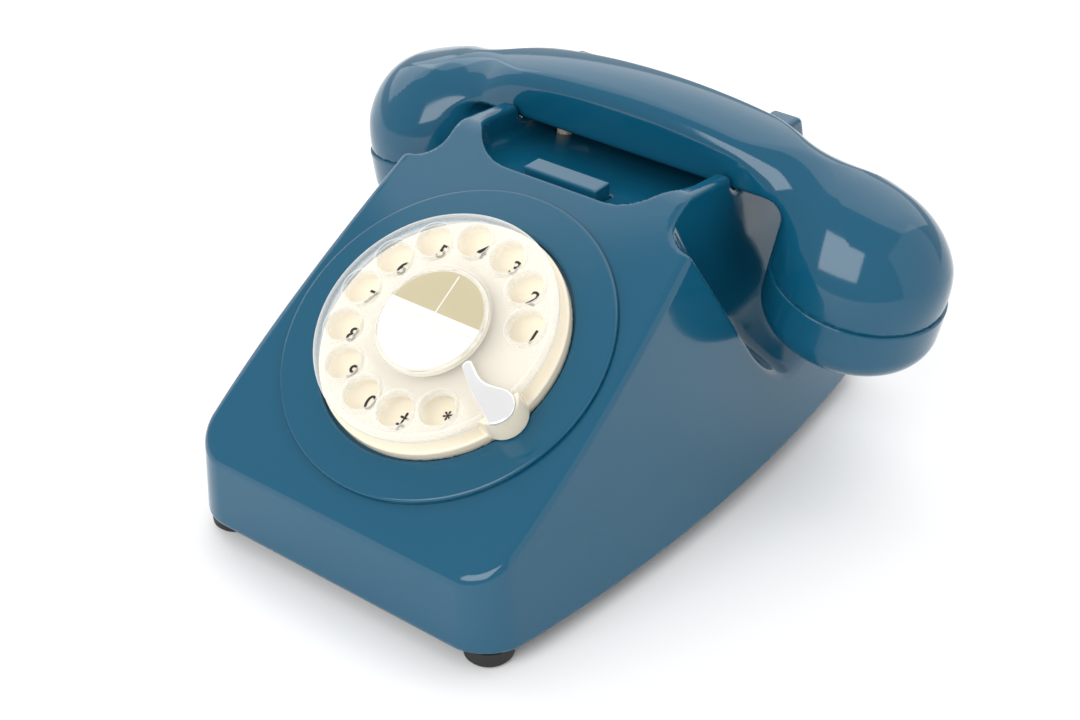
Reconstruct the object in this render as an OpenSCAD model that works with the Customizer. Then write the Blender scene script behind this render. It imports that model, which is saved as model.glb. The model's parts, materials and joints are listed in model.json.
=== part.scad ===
// Desk telephone with a rotary dial, a handset across a shallow cradle and a mechanical ringer.
// Millimetres, +Z up. The origin is on the table, under the middle of the case.

/* [Case] */
// Depth of the case from front edge to back edge
case_depth = 205; // [203:1:208]
// Greatest width of the case at its foot
case_width = 139; // [138:1:141]
// Width across the top of the case, measured at the height of the top plane
top_width = 103; // [102:1:104]
// Height of the front cradle horns, above the case datum
horn_z = 97.2; // [97:0.1:97.6]
// Wall thickness of the case moulding
wall = 2.4; // [2.2:0.1:2.6]
// Height of the front lip, where the sloping face starts
lip_z = 28.7; // [28.5:0.1:29.5]
// Slope of the dial face
face_angle = 31.2; // [31:0.1:31.5]

/* [Dial] */
// Distance up the face from the lip to the centre of the dial
dial_up = 62; // [61.5:0.5:62.5]
// Radius of the raised blue surround
surround_r = 52.9; // [52:0.1:53.5]
// Radius of the cream number plate
plate_r = 39.2; // [39:0.1:39.4]
// Radius of the clear finger wheel
wheel_r = 38; // [37.8:0.1:38.2]
// Number of finger holes
hole_count = 12; // [10:1:12]
// Radius of the circle through the finger hole centres
hole_ring_r = 29; // [28.8:0.1:29.2]
// Radius of a finger hole
hole_r = 5.5; // [5.2:0.1:5.6]

/* [Handset] */
// Height of the flat underside of the handle, above the case datum
grip_z = 88.5; // [88:0.5:89]
// Thickness of the handle at its middle
grip_h = 20; // [19:0.5:21]
// Width of the handle from front to back
grip_w = 28; // [26:1:29]
// Distance from the middle of the handset to each cap's centre
cap_x = 81.5; // [81:0.5:82.5]
// Outer radius of the ear and mouth cups
cup_r = 28; // [27.6:0.1:28.2]
// Tilt of each cup towards the middle
cup_tilt = 11; // [10.5:0.5:11.5]

/* [Hidden] */
$fn = 64;
CLEAR = 0.3;
FIT = 0.03;

// Case outline, measured back from the lip line
front_y = 1 - case_depth / 2;
case_back = case_depth - 1;
foot_lift = 2;
foot_h = 4;
bow_y = 110;
bow_r = 540;
corner_r = 13;
top_corner_r = 5;
top_plane_z = 105;
top_front = 3.1;
top_back = 176.3;

// Cradle
trough_half = 38;
trough_front = 106;
trough_back = 163.5;
trough_low = 80;
trough_r = 20;
web_half = 43.5;
seat_front = 138;
seat_back = 169.5;
seat_z = grip_z - 0.4;
handset_y = 152.5;
recess_half = 38;
recess_low = 50;
recess_high = 72;
recess_front = 168;
rear_horn_half = 33;
rear_lip_z = 94;
horn_slope = 6;

// Dial mechanism, heights along the face normal
hole_first = 19.7;
hole_step = 26.15;
stop_angle = -24;
shaft_r = 3;
gear_module = 0.9;
main_teeth = 42;
pinion_teeth = 14;
fine_module = 0.6;
pulse_teeth = 30;
governor_teeth = 12;
pulse_dir = 150;
governor_dir = 250;
pulse_dist = gear_module * (main_teeth + pinion_teeth) / 2;
governor_dist = fine_module * (pulse_teeth + governor_teeth) / 2;
pulse_at = pulse_dist * [cos(pulse_dir), sin(pulse_dir)];
governor_at = pulse_at + governor_dist * [cos(governor_dir), sin(governor_dir)];
spindle_r = 1.5;
back_plate_h = -24;
pillar_angles = [20, 95, 235, 305];
pillar_ring_r = 32;
lug_angles = [45, 135, 225, 315];
lug_ring_r = 41;

// Ringer and hook
gong_x = 21.5;
gong_r = 19.5;
gong_y = 142;
gong_z = 34;
plunger_x = 31;
plunger_r = 2.6;
lever_y = 122;
lever_z = 64;
plunger_low = 66.2;
jack_depth = 11;
board_z = 12;
floor_z = foot_h + 2.35;
boss_r = 3.5;
front_boss_z = 48;
back_boss_z = 34;

// Handset
seam_z = 64;
cup_body_h = 29;
cup_round = 20;
handle_half = 88;
cup_wall = 2.3;
cap_h = 20;
top_arc_r = 270;

blue = [0.13, 0.38, 0.5];
cream = [0.94, 0.9, 0.8];
steel = [0.7, 0.72, 0.74];
brass = [0.78, 0.62, 0.32];

function side_bow(y) = case_width / 2 - pow(y - bow_y, 2) / (2 * bow_r);
function polar(r, a) = [r * cos(a), r * sin(a)];

// Involute gear outline: half width of a tooth, as an angle, at radius r
function involute(a) = tan(a) * 180 / PI - a;
function tooth_half(teeth, m, slack, r) =
    let (base = m * teeth / 2 * cos(20))
    90 / teeth - slack / (m * teeth) * 180 / PI + involute(20)
    - involute(acos(min(1, base / max(r, base))));
function tooth(teeth, m, slack, a) =
    let (rp = m * teeth / 2)
    let (radii = [rp - 1.2 * m, rp - 0.5 * m, rp, rp + 0.45 * m, rp + 0.85 * m])
    concat(
        [for (r = radii) polar(r, a - tooth_half(teeth, m, slack, r))],
        [for (i = [4 : -1 : 0]) polar(radii[i], a + tooth_half(teeth, m, slack, radii[i]))]
    );

module placed() {
    translate([0, front_y, foot_lift]) children();
}

module on_face(h = 0) {
    placed() translate([0, 0, lip_z]) rotate([face_angle, 0, 0])
        translate([0, dial_up, h]) children();
}

module at_angle(r, a) {
    rotate([0, 0, a]) translate([r, 0, 0]) children();
}

module ring(outer, inner, h) {
    difference() {
        cylinder(r = outer, h = h);
        translate([0, 0, -1]) cylinder(r = inner, h = h + 2);
    }
}

module gear(teeth, m, h, bore, slack = 0.12) {
    points = [for (i = [0 : teeth - 1]) each tooth(teeth, m, slack, i * 360 / teeth)];
    difference() {
        linear_extrude(h) polygon(points);
        translate([0, 0, -1]) cylinder(r = bore, h = h + 2);
    }
}

// Case moulding

module body_solid(inset) {
    bottom_r = corner_r - inset;
    top_r = top_corner_r - inset;
    hull() {
        for (s = [-1, 1])
            for (y = [12, 40, 75, 110, 145, 180, case_back - corner_r])
                translate([s * (side_bow(y) - corner_r), y, foot_h - inset])
                    cylinder(r = bottom_r, h = 0.1, $fn = 40);
        for (s = [-1, 1])
            for (y = [top_front + top_corner_r, top_back - top_corner_r])
                translate([s * (top_width / 2 - top_corner_r), y, top_plane_z])
                    cylinder(r = top_r, h = 0.1, $fn = 40);
    }
}

module above_face(inset) {
    translate([0, 0, lip_z]) rotate([face_angle, 0, 0])
        translate([-90, -60, -inset]) cube([180, 260, 90]);
}

module trough_plan(grow) {
    half = trough_half + grow;
    r = trough_r + grow;
    low = trough_front - 10 - grow;
    high = trough_back + grow;
    translate([-half + r, low]) square([2 * (half - r), high - low]);
    translate([-half, low + r]) square([2 * half, high - low - r]);
    for (s = [-1, 1])
        translate([s * (half - r), low + r]) circle(r = r);
}

// Cradle trough: a step behind the rim, then a floor that falls gently towards the back
module trough(grow) {
    floor_line = [
        [trough_front - 20, 150], [trough_front - 0.5, 91.4], [trough_front + 2.5, 88.2],
        [130, 84.5], [152, trough_low], [190, trough_low], [190, 150]
    ];
    intersection() {
        translate([0, 8, 40]) linear_extrude(110) trough_plan(grow);
        translate([-60, 0, -grow]) rotate([90, 0, 90]) linear_extrude(120) polygon(floor_line);
    }
}

// Hollow at each side that gives the ear and mouth cups room
module scoop(s, grow) {
    levels = [
        [100, web_half, 92, 205, 9],
        [49, web_half + 1, 122, 186, 12],
        [31, 61, 139, 169, 6]
    ];
    hull() {
        for (l = levels)
            for (y = [l[2] + l[4], l[3] - l[4]])
                translate([s * (l[1] + l[4]), y, l[0] - (l[0] > 90 ? -20 : 0)])
                    cylinder(r = l[4] + grow, h = 0.1, $fn = 32);
        for (y = [134, 174])
            translate([s * 95, y, 31 - grow]) cylinder(r = grow + 1, h = 90, $fn = 8);
    }
}

module seat_notch() {
    translate([-60, seat_front, seat_z]) cube([120, seat_back - seat_front, 30]);
}

module hand_recess(grow) {
    translate([-recess_half - grow, recess_front - grow, recess_low - grow])
        cube([2 * (recess_half + grow), 60, recess_high - recess_low + 2 * grow]);
}

module case_outer() {
    difference() {
        body_solid(0);
        above_face(0);
        translate([-90, 111, horn_z]) rotate([-horn_slope, 0, 0]) cube([180, 44, 40]);
        translate([-90, -5, horn_z]) cube([180, 120, 40]);
        translate([-90, 149, horn_z + 1]) cube([180, 90, 40]);
        trough(0);
        seat_notch();
        translate([-rear_horn_half, 160, rear_lip_z]) cube([2 * rear_horn_half, 40, 30]);
        for (s = [-1, 1]) scoop(s, 0);
        hand_recess(0);
    }
}

module case_inner() {
    difference() {
        body_solid(wall);
        above_face(wall);
        translate([-90, -5, seat_z - wall]) cube([180, 250, 40]);
        translate([-90, 166, rear_lip_z - wall]) cube([180, 60, 40]);
        for (s = [-1, 1]) translate([s * 41 - 4, 100, 74]) cube([8, 100, 40]);
        trough(wall);
        for (s = [-1, 1]) scoop(s, wall);
        hand_recess(wall);
    }
}

module case_shell() {
    color(blue) placed() difference() {
        union() {
            difference() {
                case_outer();
                case_inner();
            }
            // screw bosses, up to the sloping face in front and the recess floor behind
            for (p = screw_points())
                translate([p[0], p[1], foot_h + wall])
                    cylinder(r = boss_r, h = (p[1] < 100 ? front_boss_z : back_boss_z) - foot_h - wall);
        }
        for (p = screw_points()) translate([p[0], p[1], foot_h]) cylinder(r = 1.6 + FIT, h = 14);
        // dial opening
        translate([0, 0, lip_z]) rotate([face_angle, 0, 0])
            translate([0, dial_up, -8]) cylinder(r = 37.5, h = 12);
        for (a = lug_angles)
            translate([0, 0, lip_z]) rotate([face_angle, 0, 0])
                translate([0, dial_up, -8]) at_angle(lug_ring_r + 5, a) cylinder(r = 1.6, h = 12);
        // recall bar slot and hook plunger holes
        translate([-14.2, 107.4, 80]) cube([28.4, 8.6, 20]);
        for (s = [-1, 1])
            translate([s * plunger_x, handset_y, 74.5]) cylinder(r = plunger_r + CLEAR, h = 30);
        // cord inlets and the ringer volume slot in the back wall
        translate([18, case_back - 12, 11]) cube([16, 20, 14]);
        translate([-33, case_back - 12, 11]) cube([14, 20, 12]);
        translate([-8.5, case_back - 8, 14]) cube([17, 20, 4]);
    }
}

module base_plate() {
    color("dimgray") placed() difference() {
        hull() {
            for (s = [-1, 1])
                for (y = [14, 40, 75, 110, 145, 180, case_back - corner_r - 2.8])
                    translate([s * (side_bow(y) - corner_r - 3.5), y, foot_h + 0.6])
                        cylinder(r = corner_r - 1, h = 1.6, $fn = 40);
        }
        for (p = foot_points()) translate([p[0], p[1], 0]) cylinder(r = 2.2, h = 12);
        for (p = screw_points()) translate([p[0], p[1], 0]) cylinder(r = 1.9, h = 12);
        for (i = [0 : 7]) translate([-40, 66 + i * 5, 0]) cube([80, 2.2, 12]);
    }
}

function foot_points() = [for (s = [-1, 1]) each [[s * 50, 9.3], [s * 49, case_back - 15]]];
function screw_points() = [for (s = [-1, 1]) each [[s * 53, 36], [s * 38, case_back - 13]]];

module rubber_feet() {
    color("black") placed() for (p = foot_points()) translate([p[0], p[1], 0]) {
        rotate_extrude() polygon([
            [0, -foot_lift], [6.4, -foot_lift], [7.3, 1 - foot_lift], [7.6, foot_h - 0.6],
            [6.6, foot_h - 0.05], [6.4, foot_h + 0.55], [0, foot_h + 0.55]
        ]);
        translate([0, 0, foot_h]) cylinder(r = 2, h = 4);
    }
}

module case_screws() {
    color(steel) placed() for (p = screw_points()) translate([p[0], p[1], foot_h - 1]) {
        cylinder(r = 3, h = 1.5);
        cylinder(r = 1.6, h = 9);
    }
}

module base_weight() {
    color("slategray") placed() translate([-34, 14, foot_h + 2.3]) cube([68, 44, 5]);
}

// Dial face

module dial_surround() {
    color(blue) on_face() rotate_extrude()
        polygon([
            [40.1, 0.05], [surround_r, 0.05], [surround_r, 1.2], [surround_r - 0.6, 1.75],
            [40.5, 1.75], [40.1, 1.4]
        ]);
}

module number_plate() {
    color(cream) on_face() difference() {
        union() {
            cylinder(r = plate_r, h = 3.6);
            cylinder(r = plate_r - 0.5, h = 4.1);
            at_angle(36.2, stop_angle) translate([0, 0, 1.8]) cylinder(r = 7.2, h = 10.5);
        }
        translate([0, 0, -1]) cylinder(r = plate_r - 2.2, h = 3.4);
        translate([0, 0, -1]) cylinder(r = 6, h = 10);
        translate([0, 0, 4.1]) cylinder(r = wheel_r + 0.6, h = 20);
        at_angle(41.2, stop_angle) translate([0, 0, 4]) cylinder(r = 1.1, h = 20);
    }
}

// Strokes of each character: top, upper left, upper right, middle, lower left, lower right, bottom
strokes = [
    [0, 0, 1, 0, 0, 1, 0], [1, 0, 1, 1, 1, 0, 1], [1, 0, 1, 1, 0, 1, 1], [0, 1, 1, 1, 0, 1, 0],
    [1, 1, 0, 1, 0, 1, 1], [1, 1, 0, 1, 1, 1, 1], [1, 0, 1, 0, 0, 1, 0], [1, 1, 1, 1, 1, 1, 1],
    [1, 1, 1, 1, 0, 1, 1], [1, 1, 1, 0, 1, 1, 1]
];

module character(k) {
    w = 0.7;
    if (k < 10) for (j = [0 : 6]) if (strokes[k][j] == 1) {
        if (j % 3 == 0) translate([-1.5, 2 - 2 * j / 3 - w / 2]) square([3, w]);
        else translate([(j % 3 == 1 ? -1.5 : 1.5 - w), j < 3 ? -w / 2 : -2 - w / 2]) square([w, 2 + w]);
    }
    if (k == 10) {
        translate([-w / 2, -2]) square([w, 4]);
        for (t = [-1, 1]) translate([-1.4, t * 0.8 - w / 2]) square([2.8, w]);
    }
    if (k == 11) for (a = [0, 60, 120]) rotate(a) translate([-2, -w / 2]) square([4, w]);
}

module dial_digits() {
    color("black") on_face(4.12) for (i = [0 : hole_count - 1])
        at_angle(hole_ring_r, hole_first + i * hole_step)
            rotate([0, 0, -hole_first - i * hole_step]) linear_extrude(0.12) character(i);
}

module finger_stop() {
    color("silver") on_face() difference() {
        rotate([0, 0, stop_angle]) translate([0, 0, 12.35]) linear_extrude(1.3) {
            hull() {
                translate([39.2, 0.3]) circle(r = 4.6);
                translate([31.5, -2.4]) circle(r = 1.9);
            }
            hull() {
                translate([33, -2.4]) circle(r = 2);
                translate([21.5, 0.4]) circle(r = 1.4);
            }
        }
        at_angle(41.2, stop_angle) translate([0, 0, 10]) cylinder(r = 1.3, h = 10);
    }
}

module stop_screw() {
    color("silver") on_face() at_angle(41.2, stop_angle) {
        translate([0, 0, 5]) cylinder(r = 1, h = 8.8);
        translate([0, 0, 13.75]) cylinder(r = 2.1, h = 0.7);
    }
}

// Dial mechanism

module dial_plate() {
    color(steel) on_face() difference() {
        union() {
            translate([0, 0, -4.2]) cylinder(r = 46.5, h = 1.6);
            translate([0, 0, -5.5]) cylinder(r = 5.5, h = 5);
            translate([pulse_at[0], pulse_at[1], -5.5]) cylinder(r = 3.2, h = 2);
        }
        translate([0, 0, -10]) cylinder(r = shaft_r + FIT, h = 20);
        translate([pulse_at[0], pulse_at[1], -10]) cylinder(r = spindle_r + FIT, h = 20);
        translate([governor_at[0], governor_at[1], -10]) cylinder(r = spindle_r + FIT, h = 20);
        for (a = lug_angles) at_angle(lug_ring_r + 5, a) translate([0, 0, -10]) cylinder(r = 3, h = 20);
        for (a = pillar_angles) at_angle(pillar_ring_r, a) translate([0, 0, -10]) cylinder(r = 1.3, h = 20);
    }
}

module dial_pillars() {
    color(brass) on_face() for (a = pillar_angles) at_angle(pillar_ring_r, a) {
        translate([0, 0, back_plate_h + 1.5]) cylinder(r = 2.4, h = -4.2 - back_plate_h - 1.5);
        translate([0, 0, back_plate_h - 1]) cylinder(r = 1.25, h = -2.6 - back_plate_h + 1.2);
    }
}

module dial_back_plate() {
    color(steel) on_face() difference() {
        translate([0, 0, back_plate_h]) cylinder(r = 35, h = 1.5);
        translate([0, 0, -30]) cylinder(r = shaft_r + FIT, h = 20);
        translate([pulse_at[0], pulse_at[1], -30]) cylinder(r = spindle_r + FIT, h = 20);
        translate([governor_at[0], governor_at[1], -30]) cylinder(r = spindle_r + FIT, h = 20);
        for (a = pillar_angles) at_angle(pillar_ring_r, a) translate([0, 0, -30]) cylinder(r = 1.3, h = 20);
    }
}

module dial_screws() {
    color(steel) on_face() for (a = lug_angles) at_angle(lug_ring_r + 5, a) {
        translate([0, 0, -7]) cylinder(r = 1.5, h = 6.6);
        translate([0, 0, -8.6]) cylinder(r = 3.2, h = 1.7);
        translate([0, 0, -4.4]) cylinder(r = 2.9, h = 1.8);
    }
}

module governor_cup() {
    color(brass) on_face() translate([governor_at[0], governor_at[1], back_plate_h + 1.55]) difference() {
        cylinder(r = 8.8, h = 7.6);
        translate([0, 0, 1.2]) cylinder(r = 7.6, h = 10);
        translate([0, 0, -1]) cylinder(r = 2, h = 10);
    }
}

module pulse_contacts() {
    color("peru") on_face() translate([22.5, -13, back_plate_h + 1.6]) {
        difference() {
            cube([8, 9, 10]);
            for (k = [0 : 2]) translate([1.4 + 2.2 * k, -1, 3]) cube([0.7, 20, 8]);
        }
        for (k = [0 : 2]) translate([1.5 + 2.2 * k, 0.2, 3.1]) cube([0.5, 18.5, 6.5]);
    }
}

// Flat spiral that turns the dial back
function spiral(turns, r0, r1, w) = concat(
    [for (i = [0 : turns * 18]) polar(r0 + (r1 - r0) * i / (turns * 18), i * 20)],
    [for (i = [turns * 18 : -1 : 0]) polar(r0 + w + (r1 - r0) * i / (turns * 18), i * 20)]
);

module return_spring() {
    color("darkslategray") on_face(-19) {
        linear_extrude(4) polygon(spiral(5, 4.2, 12.5, 0.5));
        translate([12.9, 0, back_plate_h + 20.55]) cylinder(r = 0.8, h = -16.6 - back_plate_h);
    }
}

module finger_wheel() {
    color([0.9, 0.92, 0.92, 0.4]) on_face() difference() {
        union() {
            translate([0, 0, 8.6]) cylinder(r = wheel_r, h = 1.8);
            translate([0, 0, 8]) ring(wheel_r, wheel_r - 1.6, 2.8);
            for (i = [0 : hole_count - 1])
                at_angle(hole_ring_r, hole_first + i * hole_step) translate([0, 0, 8])
                    cylinder(r = hole_r + 0.9, h = 3.2);
        }
        for (i = [0 : hole_count - 1])
            at_angle(hole_ring_r, hole_first + i * hole_step) translate([0, 0, 5])
                cylinder(r = hole_r, h = 9);
        translate([0, 0, 5]) cylinder(r = shaft_r + 2.03, h = 9);
    }
}

module wheel_hub() {
    color("whitesmoke") on_face() difference() {
        union() {
            translate([0, 0, 4.8]) cylinder(r = 7, h = 3.8);
            translate([0, 0, 4.8]) cylinder(r = shaft_r + 2, h = 7);
            translate([0, 0, 10.4]) cylinder(r = 17.6, h = 1.9);
        }
        translate([0, 0, 0]) cylinder(r = shaft_r + 0.01, h = 11.5);
    }
}

module label_card() {
    color("khaki") on_face(12.3) cylinder(r = 16.4, h = 0.4);
}

module label_cover() {
    color([0.95, 0.95, 0.95, 0.3]) on_face() difference() {
        translate([0, 0, 11]) cylinder(r = 18.6, h = 2.9);
        translate([0, 0, 12.3]) cylinder(r = 16.6, h = 0.7);
        translate([0, 0, 10]) cylinder(r = 17.65, h = 2.3);
    }
}

module main_shaft() {
    color(steel) on_face() translate([0, 0, back_plate_h - 1])
        cylinder(r = shaft_r, h = 11.4 - back_plate_h);
}

module main_gear() {
    color(brass) on_face(-9) rotate([0, 0, pulse_dir]) gear(main_teeth, gear_module, 2.4, shaft_r + 0.01);
}

module pulse_spindle() {
    color(steel) on_face() translate([pulse_at[0], pulse_at[1], 0]) {
        translate([0, 0, back_plate_h - 0.5]) cylinder(r = spindle_r, h = -2.7 - back_plate_h + 0.5);
        translate([0, 0, -9.4]) rotate([0, 0, pulse_dir + 180 - 180 / pinion_teeth])
            gear(pinion_teeth, gear_module, 3.2, spindle_r - 0.2);
    }
}

module pulse_gear() {
    color(brass) on_face(-13.2) translate([pulse_at[0], pulse_at[1], 0])
        rotate([0, 0, governor_dir]) gear(pulse_teeth, fine_module, 1.6, spindle_r + 0.01, 0.1);
}

module pulse_cam() {
    color("saddlebrown") on_face(-11.2) translate([pulse_at[0], pulse_at[1], 0]) difference() {
        union() {
            cylinder(r = 4.2, h = 1.3);
            for (k = [0 : 1]) at_angle(4.6, 60 + 180 * k) translate([-2, -1.4, 0]) cube([4, 2.8, 1.3]);
        }
        translate([0, 0, -1]) cylinder(r = spindle_r + 0.01, h = 5);
    }
}

module governor_shaft() {
    color(steel) on_face() translate([governor_at[0], governor_at[1], 0]) {
        translate([0, 0, back_plate_h - 0.5]) cylinder(r = spindle_r, h = -2.7 - back_plate_h + 0.5);
        translate([0, 0, -13.4]) rotate([0, 0, governor_dir + 180 - 180 / governor_teeth])
            gear(governor_teeth, fine_module, 2, spindle_r - 0.2, 0.1);
    }
}

module governor_weights() {
    color(brass) on_face(back_plate_h + 3.3) translate([governor_at[0], governor_at[1], 0]) difference() {
        union() {
            cylinder(r = 3.4, h = 4.6);
            translate([-5, -1.2, 1]) cube([10, 2.4, 2]);
            for (s = [-1, 1]) translate([s * 5, 0, 0]) cylinder(r = 1.9, h = 4.6);
        }
        translate([0, 0, -1]) cylinder(r = spindle_r + 0.01, h = 8);
    }
}

// Recall bar in the cradle rim

module recall_bar() {
    color(blue) placed() {
        translate([-13.8, 107.8, 83.5]) cube([27.6, 7.8, 8.2]);
        translate([-15.4, 107.8, 82.2]) cube([30.8, 7.8, 1.5]);
    }
}

module recall_spring() {
    color(steel) placed() for (s = [-1, 1]) translate([s * 9, 111.7, 72.2]) ring(2.2, 1.6, 9.8);
}

module recall_switch() {
    color("darkslategray") placed() difference() {
        translate([-17, 107, 66]) cube([34, 9.4, 6]);
        translate([-3, 106, 68]) cube([6, 12, 5]);
    }
}

// Cradle hook

module plunger(s) {
    color("ivory") placed() translate([s * plunger_x, handset_y, 0]) {
        translate([0, 0, plunger_low]) cylinder(r = plunger_r, h = seat_z - plunger_low);
        translate([0, 0, plunger_low]) cylinder(r = plunger_r + 1.4, h = 2);
    }
}

module plunger_left() {
    plunger(-1);
}

module plunger_right() {
    plunger(1);
}

module hook_lever() {
    color("goldenrod") placed() difference() {
        union() {
            translate([-36, lever_y, lever_z]) rotate([0, 90, 0]) cylinder(r = 3.4, h = 72);
            for (s = [-1, 1])
                translate([s * plunger_x - 2.5, lever_y, lever_z]) cube([5, 37, 1.8]);
            translate([-4, lever_y - 12, lever_z - 1]) cube([8, 12, 1.8]);
        }
        translate([-50, lever_y, lever_z]) rotate([0, 90, 0]) cylinder(r = 1.5 + FIT, h = 100);
    }
}

module hook_pin() {
    color(steel) placed() translate([-38.9, lever_y, lever_z]) rotate([0, 90, 0]) cylinder(r = 1.5, h = 77.8);
}

module hook_bracket() {
    color(steel) placed() for (s = [-1, 1]) difference() {
        union() {
            translate([s * 37.6 - 0.9, lever_y - 4, foot_h + 2.3]) cube([1.8, 8, 62]);
            translate([s * 40 - 4, lever_y - 4, foot_h + 2.3]) cube([8, 8, 1.6]);
        }
        translate([s * 37.6 - 4, lever_y, lever_z]) rotate([0, 90, 0]) cylinder(r = 1.52, h = 8);
    }
}

module hook_switch() {
    color("black") placed() {
        translate([-9, lever_y - 17, floor_z]) cube([18, 9, lever_z - floor_z - 5]);
        translate([-1.5, lever_y - 12, lever_z - 5.1]) cube([3, 3, 2.6]);
    }
}

// Ringer

module ringer_frame() {
    color(steel) placed() {
        difference() {
            translate([-34, gong_y - 10, foot_h + 2.3]) cube([68, 34, 1.6]);
            translate([-4, gong_y + 15, 0]) cube([8, 6, 20]);
        }
        for (s = [-1, 1]) translate([s * gong_x, gong_y, foot_h + 3.8]) cylinder(r = 2.6, h = 40);
    }
}

module gong(s) {
    wall_r = gong_r;
    color(brass) placed() translate([s * gong_x, gong_y, gong_z]) difference() {
        rotate_extrude() polygon([
            [0, 15.6], [8, 15.6], [13, 14.4], [17, 10.8], [wall_r - 0.6, 5], [wall_r, 0],
            [wall_r - 1.2, 0], [wall_r - 1.8, 5], [16, 10], [12.5, 13.2], [8, 14.4], [0, 14.4]
        ]);
        translate([0, 0, 10]) cylinder(r = 1.6, h = 10);
    }
}

module gong_left() {
    gong(-1);
}

module gong_right() {
    gong(1);
}

module gong_screws() {
    color(steel) placed() for (s = [-1, 1]) translate([s * gong_x, gong_y, gong_z + 14]) {
        translate([0, 0, 0.35]) cylinder(r = 1.5, h = 1.4);
        translate([0, 0, 1.7]) cylinder(r = 3.4, h = 1.8);
    }
}

module ringer_coils() {
    color("firebrick") placed() for (s = [-1, 1])
        translate([s * 9, gong_y + 18, foot_h + 6]) ring(6.2, 2.6, 16);
}

module ringer_magnet() {
    color("gray") placed() {
        translate([-14, gong_y + 12.5, foot_h + 3.95]) cube([28, 11, 2]);
        for (s = [-1, 1]) translate([s * 9, gong_y + 18, foot_h + 5.9]) cylinder(r = 2.5, h = 18);
    }
}

module clapper() {
    color(steel) placed() difference() {
        union() {
            translate([0, gong_y + 8, 28.4]) cylinder(r = 2.8, h = 4);
            translate([-11, gong_y + 7, 28.4]) cube([22, 13, 1.4]);
            translate([-0.8, gong_y - 14, 28.4]) cube([1.6, 24, 1.4]);
            translate([0, gong_y - 15, 28.4]) cylinder(r = 1.8, h = 11);
        }
        translate([0, gong_y + 8, 20]) cylinder(r = 1 + FIT, h = 30);
    }
}

module clapper_pin() {
    color(steel) placed() {
        translate([0, gong_y + 8, foot_h + 3.95]) cylinder(r = 1, h = 25.2);
        translate([0, gong_y + 8, foot_h + 3.95]) cylinder(r = 2.4, h = 20.2);
    }
}

// Electrics

module circuit_board() {
    color("darkgreen") placed() difference() {
        translate([-40, 168, board_z]) cube([80, 19, 1.6]);
        for (p = board_points()) translate([p[0], p[1], 5]) cylinder(r = 1.7, h = 20);
    }
}

function board_points() = [for (s = [-1, 1]) each [[s * 36, 171.5], [s * 36, 183.5]]];

module board_posts() {
    color("gainsboro") placed() for (p = board_points()) translate([p[0], p[1], floor_z]) {
        cylinder(r = 3, h = board_z - 0.05 - floor_z);
        cylinder(r = 1.6, h = 8.6);
    }
}

module bell_capacitor() {
    color("orange") placed() translate([-31, 172, board_z + 1.65]) cube([20, 8, 13]);
}

module line_transformer() {
    color("dimgray") placed() translate([14, 170, board_z + 1.65]) {
        cube([16, 14, 12]);
        translate([2.5, 1, 12]) cube([11, 12, 3]);
    }
}

module jack(w, h, opening) {
    difference() {
        cube([w, jack_depth, h]);
        translate([1.6, 2.5, h - opening - 1.8]) cube([w - 3.2, 20, opening]);
        translate([w / 2 - 2, 2.5, h - opening - 2.6]) cube([4, 20, opening]);
    }
    for (k = [0 : 3]) translate([w / 2 - 2.2 + 1.2 * k, 2.4, h - 3.6]) cube([0.5, 6, 1.9]);
}

module line_jack() {
    color("ivory") placed() translate([18.3, 187.4, floor_z]) jack(15.4, 18.2, 9);
}

module handset_jack() {
    color("ivory") placed() translate([-32.7, 187.4, floor_z]) jack(13.4, 16.2, 8);
}

module volume_switch() {
    color("black") placed() difference() {
        translate([-10, case_back - 13.6, floor_z]) cube([20, 5.4, 15.4]);
        translate([-8, case_back - 11.6, 14]) cube([16, 10, 4]);
    }
}

module volume_slider() {
    color("white") placed() translate([-2, case_back - 11.3, 14.3]) cube([4, 8.7, 3.4]);
}

// Handset

module handle_side(inset) {
    intersection() {
        translate([0, grip_z + grip_h - top_arc_r]) circle(r = top_arc_r - inset, $fn = 256);
        translate([-handle_half + inset, grip_z + inset]) square([2 * (handle_half - inset), 60]);
    }
}

module at_cup(s) {
    placed() translate([s * cap_x, handset_y, seam_z]) rotate([0, s * cup_tilt, 0]) children();
}

module cup_solid(r, top, round) {
    rotate_extrude() {
        square([r - round, top]);
        square([r, top - round]);
        intersection() {
            translate([r - round, top - round]) circle(r = round);
            square([r, top]);
        }
    }
}

module handle_bar(inset) {
    placed() translate([0, handset_y + grip_w / 2 - inset, 0]) rotate([90, 0, 0])
        linear_extrude(grip_w - 2 * inset) handle_side(inset);
}

module handset_shell() {
    color(blue) difference() {
        union() {
            handle_bar(0);
            for (s = [-1, 1]) at_cup(s) cup_solid(cup_r, cup_body_h, cup_round);
        }
        handle_bar(cup_wall);
        for (s = [-1, 1]) at_cup(s) translate([0, 0, -0.01])
            cup_solid(cup_r - cup_wall, cup_body_h - cup_wall, cup_round - cup_wall);
        // cord socket opening at the end of the mouthpiece cup
        at_cup(-1) translate([-cup_r - 5, -4.7, 2.4]) cube([12, 9.4, 9.8]);
    }
}

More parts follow.
